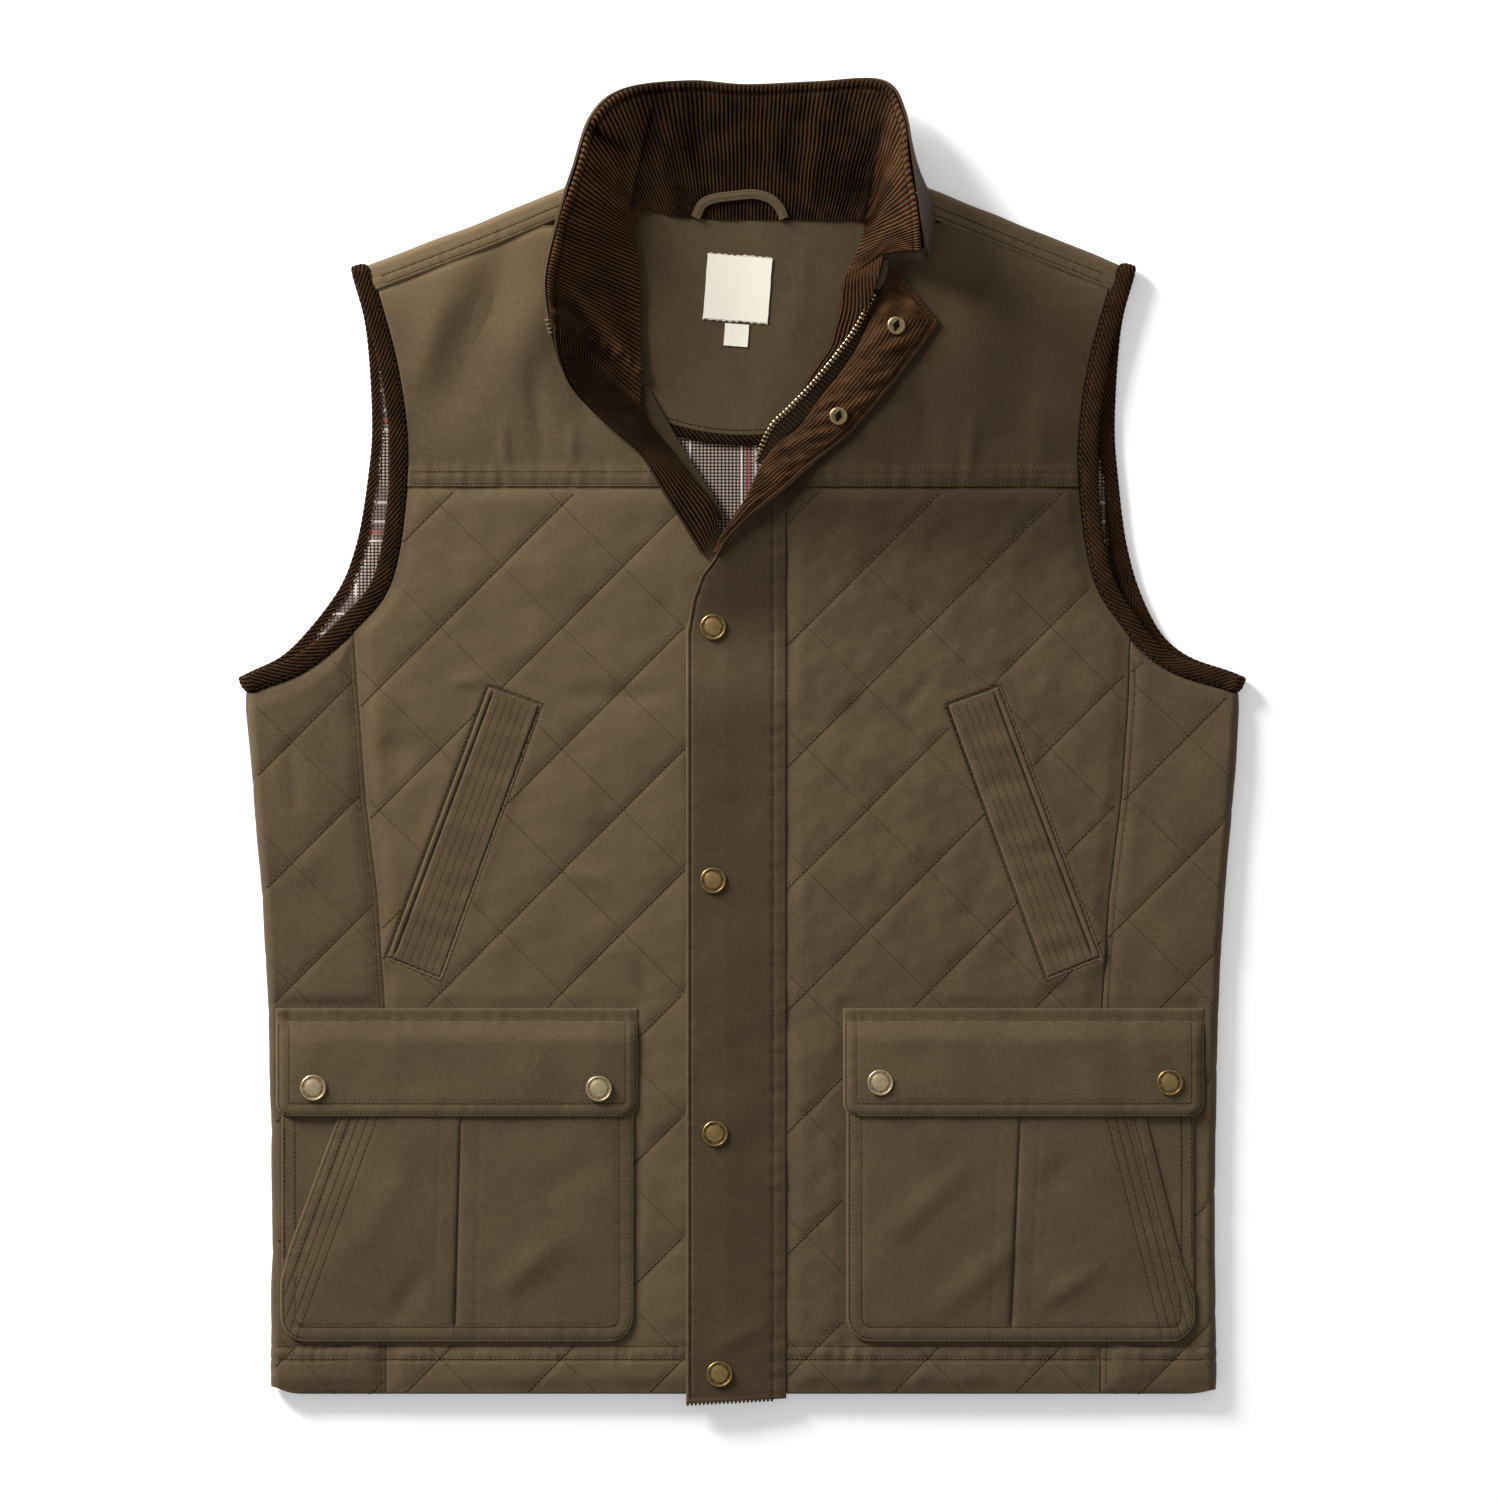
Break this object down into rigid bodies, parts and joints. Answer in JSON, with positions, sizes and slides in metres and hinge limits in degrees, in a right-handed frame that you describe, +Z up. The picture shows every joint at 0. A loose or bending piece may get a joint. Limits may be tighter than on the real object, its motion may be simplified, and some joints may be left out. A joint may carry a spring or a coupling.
{
  "type": "canvas vest",
  "caption": "Sleeveless quilted canvas vest with corduroy stand collar, snap placket over a zip, welt and flap pockets, laid flat on its back.",
  "frame": {"origin": "on the surface the vest lies on, under the middle of its bounding box", "axes": "+X to the right as seen from above, +Y toward the collar, +Z up from the surface"},
  "size_m": [0.578, 0.7611, 0.0473],
  "materials": {
    "canvas": "matt cotton canvas",
    "corduroy": "fine-wale corduroy with a soft nap",
    "check_lining": "fine woven check",
    "label_cloth": "woven label",
    "zip_tape": "woven zip tape",
    "brass": "aged brass"
  },
  "bodies": {
    "root": {"back_body": "canvas", "back_yoke": "canvas", "inside_yoke": "canvas", "front_left": "canvas", "front_right": "canvas", "front_yoke_left": "canvas", "front_yoke_right": "canvas", "side_left": "canvas", "side_right": "canvas", "placket": "canvas", "collar_outer": "canvas", "facing_left": "canvas", "welt_left": "canvas", "welt_right": "canvas", "pocket_back_left": "canvas", "pocket_back_right": "canvas", "pocket_front_left": "canvas", "pocket_front_right": "canvas", "pocket_flap_left": "canvas", "pocket_flap_right": "canvas", "hanging_loop": "canvas", "collar_lining": "corduroy", "lapel_left": "corduroy", "lapel_right": "corduroy", "facing_right": "corduroy", "inside_yoke_binding": "corduroy", "armhole_binding_left": "corduroy", "armhole_binding_right": "corduroy", "back_lining": "check_lining", "label": "label_cloth", "size_tab": "label_cloth", "zip_closed": "zip_tape", "zip_tape_left": "zip_tape", "zip_tape_right": "zip_tape", "placket_snap_1": "brass", "placket_snap_2": "brass", "placket_snap_3": "brass", "placket_snap_4": "brass", "flap_snap_left_1": "brass", "flap_snap_left_2": "brass", "flap_snap_right_1": "brass", "flap_snap_right_2": "brass", "snap_socket_1": "brass", "snap_socket_2": "brass"}
  },
  "joints": []
}
